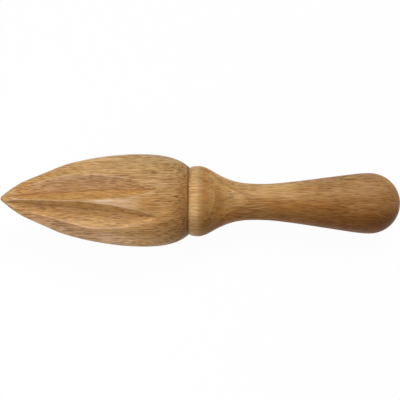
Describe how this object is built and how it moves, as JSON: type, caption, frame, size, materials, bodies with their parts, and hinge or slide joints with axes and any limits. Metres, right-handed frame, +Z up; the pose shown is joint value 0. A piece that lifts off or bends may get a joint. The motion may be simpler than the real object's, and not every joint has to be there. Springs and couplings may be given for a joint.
{
  "type": "citrus reamer",
  "caption": "Wooden hand citrus reamer turned from one piece: a pointed fluted head, a grooved collar and a waisted handle with a round butt.",
  "frame": {"origin": "on the table, under the middle of the reamer as it lies", "axes": "+X along the reamer as it lies, from the pointed head to the butt; +Z up; the turning axis dips 4.1 degrees towards the butt"},
  "size_m": [0.1698, 0.0392, 0.0394],
  "materials": {
    "beech": "bare, sanded smooth"
  },
  "bodies": {
    "root": {"reamer": "beech"}
  },
  "joints": []
}
